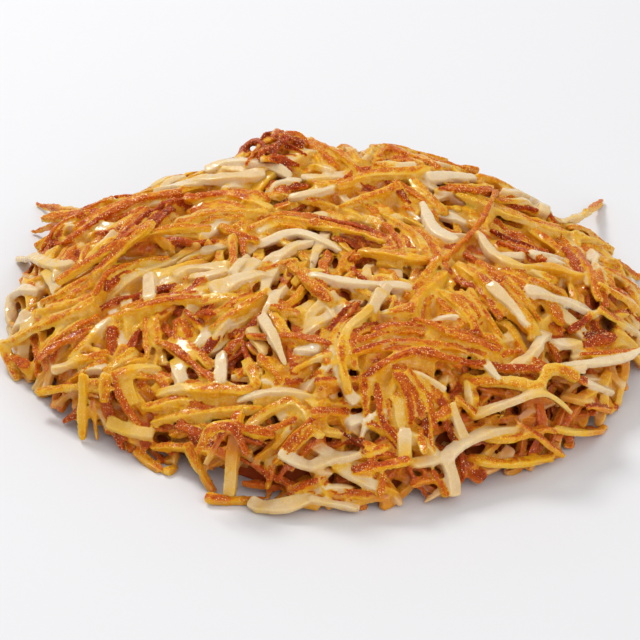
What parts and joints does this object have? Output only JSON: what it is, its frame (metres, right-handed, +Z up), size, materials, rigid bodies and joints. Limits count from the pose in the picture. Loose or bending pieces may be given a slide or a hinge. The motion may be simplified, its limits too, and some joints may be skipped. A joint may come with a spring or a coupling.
{
  "type": "hash browns",
  "caption": "A heaped, pan-fried portion of shredded potato hash browns, with crisp brown strands over pale ones, made to be laid on a plate or pan.",
  "frame": {"origin": "on the flat underside, near the middle of the heap, at the level it rests on", "axes": "+Z up; +X to the right and +Y away as seen from the side that the picture shows; the heap is longest along X"},
  "size_m": [0.1893, 0.1731, 0.0346],
  "materials": {
    "fried_potato": "fried potato, golden with brown crisp strands and pale cream ones, lightly glossy with oil"
  },
  "bodies": {
    "root": {"hash_brown": "fried_potato"}
  },
  "joints": []
}
